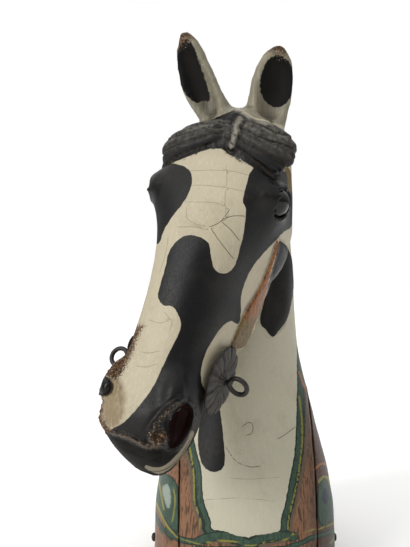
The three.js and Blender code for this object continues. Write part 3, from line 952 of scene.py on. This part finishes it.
# coats in painting order: the ground, then each layer's share and its colour or earlier coat
coatSet = [
    ("creamCoat", "cream", [
        ("neck", "neckCream"), ("ear", "earCream"), ("nose", "noseShade"), ("stains", "creamStain"),
        ("brushed", "creamPale"), ("specks", "creamStain"),
    ]),
    ("tealCoat", "teal", [
        ("tealStreaks", "tealDark"), ("tealClouds", "tealDark"), ("tealSpecks", "tealPale"),
    ]),
    ("salmonCoat", "salmon", [
        # painted shade darkens the salmon on the side away from the key light
        ("shadeSide", "salmonDark"), ("salmonStreaks", "salmonDark"), ("salmonClouds", "salmonDark"),
        ("salmonRubbed", "salmonWorn"), ("sootStreaks", "sideSoot"),
    ]),
    ("yellowCoat", "yellow", [("yellowWear", "teal")]),
    ("leafCoat", "tealDark", [("leaf", "tealCoat"), ("pale", "leafPale"), ("navy", "navy")]),
    ("mantleCoat", "tealDark", [
        ("outlined", "tealCoat"), ("innerGreen", "tealDark"), ("mauve", "mauve"), ("salmon", "salmonCoat"),
        ("band", "tealCoat"), ("bandLine", "yellowCoat"), ("leafEdge", "leafCoat"),
        ("tealStroke", "tealDark"), ("tealStrokeIn", "tealCoat"), ("orange", "orange"),
        ("yellow", "yellowCoat"),
    ]),
    ("blackCoat", "black", [
        ("blackClouds", "blackWarm"), ("blackSpecks", "blackWarm"), ("dustAndHighlight", "blackDustAndHighlight"),
        ("dustTop", "dusty"),
    ]),
    ("strapCoat", "strap", [
        ("strapLow", "strapLow"), ("strapStreaks", "strapDark"), ("strapSpecks", "strapEdge"),
        ("strapEdge", "strapEdge"),
    ]),
    ("woodCoat", "bareWood", [("woodDark", "bareDark"), ("woodLight", "bareLight")]),
    ("skin", "creamCoat", [
        ("mantle", "mantleCoat"), ("black", "blackCoat"), ("inEar", "earBlack"), ("strap", "strapCoat"),
        ("strip", "strapLow"), ("red", "red"), ("teeth", "teeth"), ("worn", "woodCoat"), ("lines", "dirtAndShade"),
        # grime and painted shade darken the hollows
        ("grimeAndShade", "dirtAndShade"),
    ]),
]


def emptyMaterial(name):
    material = bpy.data.materials.new(name)
    material.use_nodes = True
    material.node_tree.nodes.clear()
    return material


def paintedWood(name):
    material = emptyMaterial(name)
    tree = material.node_tree
    place = addNode(tree, "TexCoord").outputs["Object"]
    read = {}
    for key in paintNames:
        read[key] = addNode(tree, "Attribute", attribute_name=key).outputs["Fac"]

    # unevenness: 5 mm wobble, 50 mm clouds, 2 mm grit, and brush streaks along the grain
    grain = addNode(tree, "Mapping", {"Vector": place, "Scale": (1, 1, 0.12)})
    noises = {}
    for key, at, size, detail, rough in (("wobble", place, 210, 3, 0.5), ("streaks", grain, 420, 4, 0.5),
                                         ("clouds", place, 20, 7, 0.62), ("grit", place, 520, 4, 0.7)):
        settled = {"Vector": at, "Scale": size, "Detail": detail, "Roughness": rough}
        noises[key] = addNode(tree, "TexNoise", settled)
    shift = addNode(tree, "Math", {0: noises["wobble"], 1: 2.4, 2: -1.2}, operation="MULTIPLY_ADD")
    shares = {}
    for key, source, low, high, wander in areaSet:
        moved = addNode(tree, "Math", {0: shift, 1: wander, 2: read[source]}, operation="MULTIPLY_ADD")
        shares[key] = addNode(tree, "MapRange", {"Value": moved, "From Min": low, "From Max": high},
                              interpolation_type="SMOOTHSTEP")
    for key, source, low, high, top in mottleSet:
        shares[key] = addNode(tree, "MapRange",
                              {"Value": noises[source], "From Min": low, "From Max": high, "To Max": top})
    # dust with painted highlight on the locks' raised strands and upper halves
    dusted = {0: shares["dustAndHighlightNoise"], 1: read["rubbed"]}
    shares["dustAndHighlight"] = addNode(tree, "Math", dusted, operation="MULTIPLY")

    # worn through to the wood in flecks
    chip = addNode(tree, "Math", {0: noises["grit"], 1: 26, 2: -13.5}, operation="MULTIPLY_ADD")
    chip = addNode(tree, "Math", {0: chip, 1: read["wornWood"]}, operation="ADD")
    shares["worn"] = addNode(tree, "MapRange", {"Value": chip, "From Max": 1.5})

    # crazing, a fine net of cracks about 8 mm across, hairlines, and the larger cracks
    bend = addNode(tree, "Mix", {0: 0.06, 6: place, 7: noises["clouds"].outputs["Color"]}, data_type="RGBA")
    craze = addNode(tree, "TexVoronoi", {"Vector": bend, "Scale": 120}, feature="DISTANCE_TO_EDGE")
    net = addNode(tree, "MapRange", {"Value": craze, "From Min": 0.02, "From Max": 0.0, "To Max": 0.16})
    lines = addNode(tree, "Math", {0: net, 1: shares["craze"]}, operation="MULTIPLY")
    for key, reach, strength in (("crack", 0.5, 0.9), ("hair", 0.4, 0.42)):
        side = addNode(tree, "Math", {0: read[key + "Side"]}, operation="ABSOLUTE")
        thin = addNode(tree, "MapRange", {"Value": side, "From Min": reach, "From Max": 0.1})
        near = addNode(tree, "MapRange",
                       {"Value": read[key + "Gap"], "From Min": 2.4, "From Max": 1.2, "To Max": strength})
        line = addNode(tree, "Math", {0: thin, 1: near}, operation="MULTIPLY")
        lines = addNode(tree, "Math", {0: lines, 1: line}, operation="MAXIMUM")
    shares["lines"] = lines
    # grime and painted shade, darker the deeper the hollow
    shares["grimeAndShade"] = addNode(tree, "MapRange",
                              {"Value": read["hollow"], "From Min": 0.12, "From Max": 0.9, "To Max": 0.8})

    coats = {key: linear(value) for key, value in paintColours.items()}
    for key, ground, layers in coatSet:
        coat = coats[ground]
        for share, over in layers:
            coat = addNode(tree, "Mix", {0: shares[share], 6: coat, 7: coats[over]}, data_type="RGBA")
        coats[key] = coat

    # satin, glossier on the eye domes, without sheen on the lips, dull in the ears and on bare wood
    gloss = addNode(tree, "MapRange", {"Value": read["shine"], "From Min": 0.3, "From Max": 0.8})
    dull = addNode(tree, "MapRange", {"Value": noises["grit"], "To Min": 0.28, "To Max": 0.6})
    for share, value in ((gloss, 0.19), (shares["inEar"], 0.8), (shares["red"], 0.7), (shares["worn"], 0.85)):
        dull = addNode(tree, "Mix", {0: share, 2: dull, 3: value}, data_type="FLOAT")
    # relief: brush marks, grit in the black, cracks cut in, and splintered bare wood
    height = addNode(tree, "Math", {0: noises["streaks"], 1: 0.3}, operation="MULTIPLY")
    gritty = addNode(tree, "Math", {0: noises["grit"], 1: shares["worn"]}, operation="MULTIPLY")
    for share, depth in ((noises["grit"], 0.45), (lines, -1.0), (shares["worn"], -0.9), (gritty, 2.0)):
        height = addNode(tree, "Math", {0: share, 1: depth, 2: height}, operation="MULTIPLY_ADD")
    relief = addNode(tree, "Bump", {"Height": height, "Strength": 0.8, "Distance": 0.0006})
    sheen = addNode(tree, "MapRange", {"Value": read["matt"], "To Min": 0.2, "To Max": 0.02})
    surface = {"Base Color": coats["skin"], "Roughness": dull, "Normal": relief, "Specular IOR Level": sheen}
    shader = addNode(tree, "BsdfPrincipled", surface)
    addNode(tree, "OutputMaterial", {"Surface": shader})
    return material


woodPaint = paintedWood("aged_painted_basswood")
for piece in [horse] + boards:
    piece.data.materials.append(woodPaint)


# Old iron: cast and wrought fittings, nearly black, dull, with a little rust in spots, and paler where raised
# veins are rubbed
ironSet = {
    "pitDepth": 0.0003,
    "rubbed": "5F594E",
}


def oldIron(name, tone, rust, dullness):
    material = emptyMaterial(name)
    tree = material.node_tree
    place = addNode(tree, "TexCoord").outputs["Object"]
    spots = addNode(tree, "TexNoise", {"Vector": place, "Scale": 180, "Detail": 6, "Roughness": 0.65})
    pits = addNode(tree, "TexNoise", {"Vector": place, "Scale": 900, "Detail": 3})
    share = addNode(tree, "MapRange", {"Value": spots, "From Min": 0.5, "From Max": 0.72})
    base = addNode(tree, "Mix", {0: share, 6: linear(tone), 7: linear(rust)}, data_type="RGBA")
    raised = addNode(tree, "Attribute", attribute_name="raised").outputs["Fac"]  # cast veins, rubbed
    rubbedShare = addNode(tree, "Math", {0: raised, 1: spots}, operation="MULTIPLY")
    base = addNode(tree, "Mix", {0: rubbedShare, 6: base, 7: linear(ironSet["rubbed"])}, data_type="RGBA")
    dull = addNode(tree, "MapRange", {"Value": spots, "To Min": dullness - 0.1, "To Max": dullness + 0.2})
    relief = addNode(tree, "Bump", {"Height": pits, "Strength": 0.5, "Distance": ironSet["pitDepth"]})
    shader = addNode(tree, "BsdfPrincipled",
                     {"Base Color": base, "Metallic": 0.3, "Roughness": dull, "Normal": relief})
    addNode(tree, "OutputMaterial", {"Surface": shader})
    return material


ironRosette = oldIron("old_cast_iron", "1D1A17", "3A2E24", 0.55)
ironRing = oldIron("old_wrought_iron", "1B1816", "33281F", 0.45)
ironBolt = oldIron("rusted_bolt_iron", "1F1A17", "40291B", 0.6)

# Bit rosettes: a boss and ten veined leaves, as cast
rosetteSet = {
    "at": (50, -92, 310),
    "pitch": -0.08,
    "leans": {"bit_rosette_left": (1, -0.06), "bit_rosette_right": (-1, -0.04)},
    "leaves": 10,
    "radius": 40,
    "voxel": 0.0011,
    "relaxWeight": 0.6,
    "relaxTimes": 6,
    "veinDepth": 0.9,
}


def rosettePiece(node, name):
    side, lean = rosetteSet["leans"][node]
    disc = remeshedCopy(node, name, rosetteSet["voxel"])
    relax(disc, np.full(len(disc.data.vertices), rosetteSet["relaxWeight"]), rosetteSet["relaxTimes"])
    turn = np.array(Matrix.Rotation(rosetteSet["pitch"], 3, "Y") @ Matrix.Rotation(lean, 3, "Z"))
    local = (toHead(pointsOf(disc)) * (side, 1, 1) - rosetteSet["at"]) @ turn
    out = np.hypot(local[:, 1], local[:, 2])
    angle = np.arctan2(local[:, 2], local[:, 1])
    leafAngle = np.abs((angle * rosetteSet["leaves"] / (2 * np.pi)) % 1 - 0.5) * 2
    share = out / rosetteSet["radius"]
    edge = bump(leafAngle - 1, 0.14) * np.clip((share - 0.22) * 8, 0, 1)
    vein = bump(leafAngle, 0.09) * np.clip((share - 0.3) * 8, 0, 1) * np.clip((0.9 - share) * 8, 0, 1)
    rib = bump(leafAngle - 0.5, 0.12) * np.clip((share - 0.35) * 8, 0, 1) * np.clip((0.85 - share) * 8, 0, 1)
    ring = bump(share - 0.24, 0.035)
    face = np.clip(local[:, 0] / 2, 0, 1)
    lift = face * rosetteSet["veinDepth"] * (0.8 * vein - 1.5 * edge - 0.5 * rib - 0.9 * ring)
    movePoints(disc, pointsOf(disc) + normalsOf(disc) * lift[:, None])
    raised = vein + 0.6 * bump(leafAngle - 0.5, 0.2) * (share < 0.95)
    setAttribute(disc, "raised", face * np.clip(raised, 0, 1))
    smoothFaces(disc)
    disc.data.materials.append(ironRosette)
    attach(disc, "root")
    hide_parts(node)


roundedWeight = 0.8


def roundedPiece(node, name, voxel, times, material, slot):
    # a forged or glass piece with its facets rounded off
    piece = remeshedCopy(node, name, voxel)
    relax(piece, np.full(len(piece.data.vertices), roundedWeight), times)
    smoothFaces(piece)
    piece.data.materials.append(material)
    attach(piece, "root")
    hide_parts(node)


# Eyes: glass, black right through, with a hard polish
eyeGlass = emptyMaterial("polished_black_glass")
eyeTree = eyeGlass.node_tree
eyePlace = addNode(eyeTree, "TexCoord").outputs["Object"]
smear = addNode(eyeTree, "TexNoise", {"Vector": eyePlace, "Scale": 160, "Detail": 5})
smearRough = addNode(eyeTree, "MapRange", {"Value": smear, "To Min": 0.1, "To Max": 0.24})
smearTone = addNode(eyeTree, "Mix",
                    {0: smear, 6: linear("0A0A0B"), 7: linear("15130F")}, data_type="RGBA")
eyeShader = addNode(eyeTree, "BsdfPrincipled",
                    {"Base Color": smearTone, "Roughness": smearRough, "IOR": 1.5, "Specular IOR Level": 0.3})
addNode(eyeTree, "OutputMaterial", {"Surface": eyeShader})

print("fittings")
rosettePiece("bit_rosette_left", "leafed_rosette_near")
rosettePiece("bit_rosette_right", "leafed_rosette_far")
# node, name, voxel in metres, rounds of rounding off, material, slot
fittingSet = [
    ("rein_ring_left", "forged_ring_near", 0.0007, 6, ironRing, "ring_iron"),
    ("rein_ring_right", "forged_ring_far", 0.0007, 6, ironRing, "ring_iron"),
    ("bolt_left", "domed_bolt_near", 0.0007, 4, ironBolt, "bolt_iron"),
    ("bolt_right", "domed_bolt_far", 0.0007, 4, ironBolt, "bolt_iron"),
    ("eye_left", "glass_eye_near", 0.0012, 20, eyeGlass, "eye_glass"),
    ("eye_right", "glass_eye_far", 0.0012, 20, eyeGlass, "eye_glass"),
]
for row in fittingSet:
    roundedPiece(*row)

# Floor and light: a white room, and a broad soft key from the upper left in front
stageSet = {
    "floorSize": 30,
    "floorColour": "FDFDFC",
    "floorRoughness": 0.9,
    "seenWorld": 1.0,
    "horizonLight": 0.16,
    "ceilingLight": 1.35,
    "keyStrength": 2.2,
    "keySpread": 26,
    "keyFrom": (-0.78, -0.62, 0.42),
}
bpy.ops.object.select_all(action="DESELECT")
bpy.ops.mesh.primitive_plane_add(size=stageSet["floorSize"], location=(0, 0, 0))
floor = bpy.context.object
floor.name = "pale_floor"
floorPaint = bpy.data.materials.new("matt_white_floor")
floorPaint.use_nodes = True
floorShader = floorPaint.node_tree.nodes["Principled BSDF"]
floorShader.inputs["Base Color"].default_value = linear(stageSet["floorColour"])
floorShader.inputs["Roughness"].default_value = stageSet["floorRoughness"]
floor.data.materials.append(floorPaint)

world = bpy.data.worlds.new("studio")
scene.world = world
world.use_nodes = True
worldTree = world.node_tree
background = worldTree.nodes["Background"]
rays = addNode(worldTree, "LightPath")
skyPlace = addNode(worldTree, "TexCoord").outputs["Generated"]
skyward = addNode(worldTree, "SeparateXYZ", {"Vector": skyPlace})
ceiling = addNode(worldTree, "MapRange",
                  {"Value": skyward.outputs["Z"], "To Min": stageSet["horizonLight"],
                   "To Max": stageSet["ceilingLight"]}, interpolation_type="SMOOTHSTEP")
room = addNode(worldTree, "Mix",
               {0: rays.outputs["Is Camera Ray"], 2: ceiling, 3: stageSet["seenWorld"]}, data_type="FLOAT")
background.inputs["Color"].default_value = (1, 1, 1, 1)
worldTree.links.new(room.outputs[0], background.inputs["Strength"])

keyData = bpy.data.lights.new("key", "SUN")
keyData.energy = stageSet["keyStrength"]
keyData.angle = math.radians(stageSet["keySpread"])
key = bpy.data.objects.new("key", keyData)
key.rotation_euler = Vector(stageSet["keyFrom"]).to_track_quat("Z", "Y").to_euler()
scene.collection.objects.link(key)
